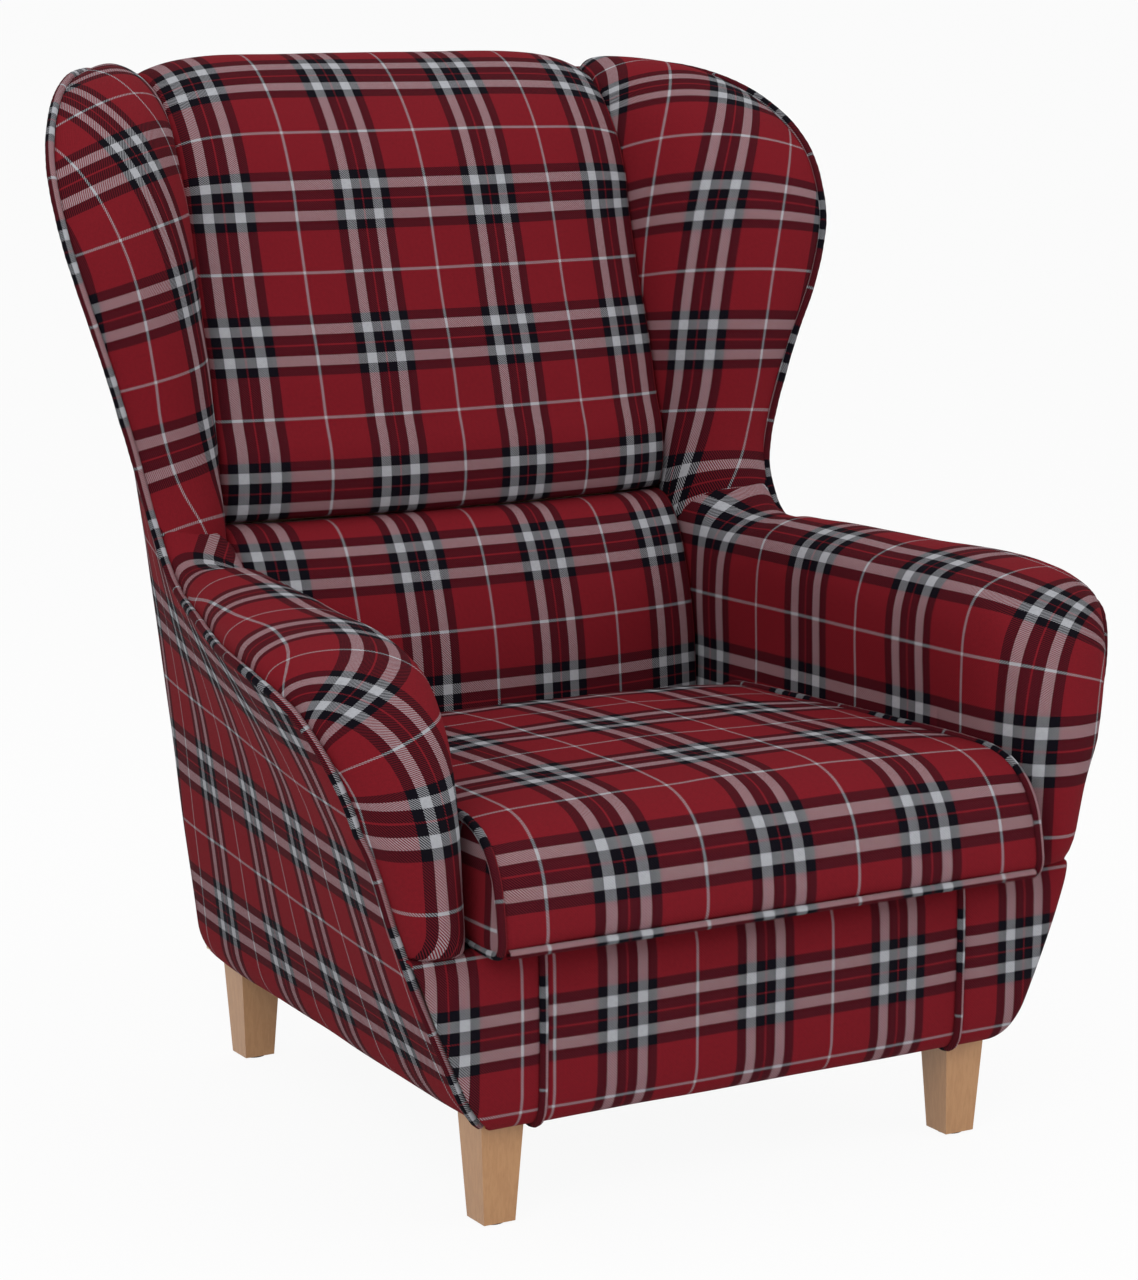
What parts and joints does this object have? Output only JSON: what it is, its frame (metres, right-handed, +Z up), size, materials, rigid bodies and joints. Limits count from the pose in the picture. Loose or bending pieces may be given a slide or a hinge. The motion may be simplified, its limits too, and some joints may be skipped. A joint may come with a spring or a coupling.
{
  "type": "wingback fireside chair",
  "caption": "Upholstered fireside chair with rounded wings, padded arms, a loose boxed seat cushion and square tapered wooden legs.",
  "frame": {"origin": "on the floor under the middle of the chair's bounding box", "axes": "+Z up, -Y towards the front where a person sits down, +X to the viewer's right when facing the chair from the front"},
  "size_m": [0.9356, 0.8738, 1.051],
  "materials": {
    "leg_beech": "satin lacquered beech, pale natural colour",
    "frame_beech": "planed beech",
    "plywood": "birch plywood",
    "steel": "zinc plated",
    "glide_nylon": "dark nylon",
    "tartan": "woven wool tartan, red with black and white checks",
    "piping_tartan": "the same tartan over cord",
    "platform_cloth": "black platform cloth",
    "dust_cloth": "black cambric",
    "webbing": "woven elastic webbing",
    "felt": "needled felt",
    "foam": "polyurethane foam with wadding"
  },
  "bodies": {
    "chair": {"arm_cover_left": "tartan", "arm_cover_right": "tartan", "arm_pad_left": "foam", "arm_pad_right": "foam", "arm_rail_left": "frame_beech", "arm_rail_right": "frame_beech", "back_lower_rail": "frame_beech", "back_seam_rail": "frame_beech", "back_top_rail": "frame_beech", "back_webbing": "webbing", "border_welts": "piping_tartan", "corner_block_front_left": "frame_beech", "corner_block_front_right": "frame_beech", "corner_block_rear_left": "frame_beech", "corner_block_rear_right": "frame_beech", "corner_cover_left": "tartan", "corner_cover_right": "tartan", "deck_cloth": "platform_cloth", "deck_felt": "felt", "deck_pad": "foam", "dust_cover": "dust_cloth", "front_border_cover": "tartan", "front_border_pad": "foam", "front_post_left": "frame_beech", "front_post_right": "frame_beech", "front_rail": "frame_beech", "hanger_bolts": "steel", "leg_front_left": "leg_beech", "leg_front_right": "leg_beech", "leg_glides": "glide_nylon", "leg_rear_left": "leg_beech", "leg_rear_right": "leg_beech", "lower_back_cover": "tartan", "lower_back_pad": "foam", "outline_piping_left": "piping_tartan", "outline_piping_right": "piping_tartan", "outside_back": "tartan", "rear_post_left": "frame_beech", "rear_post_right": "frame_beech", "rear_rail": "frame_beech", "seat_springs": "steel", "side_panel_left": "tartan", "side_panel_right": "tartan", "side_rail_left": "frame_beech", "side_rail_right": "frame_beech", "spring_clips": "steel", "tee_nuts": "steel", "upper_back_cover": "tartan", "upper_back_pad": "foam", "wing_board_left": "plywood", "wing_board_right": "plywood", "wing_cover_left": "tartan", "wing_cover_right": "tartan", "wing_pad_left": "foam", "wing_pad_right": "foam"},
    "cushion": {"cushion_core": "foam", "cushion_cover": "tartan", "cushion_piping": "piping_tartan", "cushion_side_left": "tartan", "cushion_side_right": "tartan"}
  },
  "joints": [
    {"name": "cushion_lift", "type": "slide", "parent": "chair", "child": "cushion", "axis": [0, 0, 1], "range_m": [0, 0.3]}
  ]
}
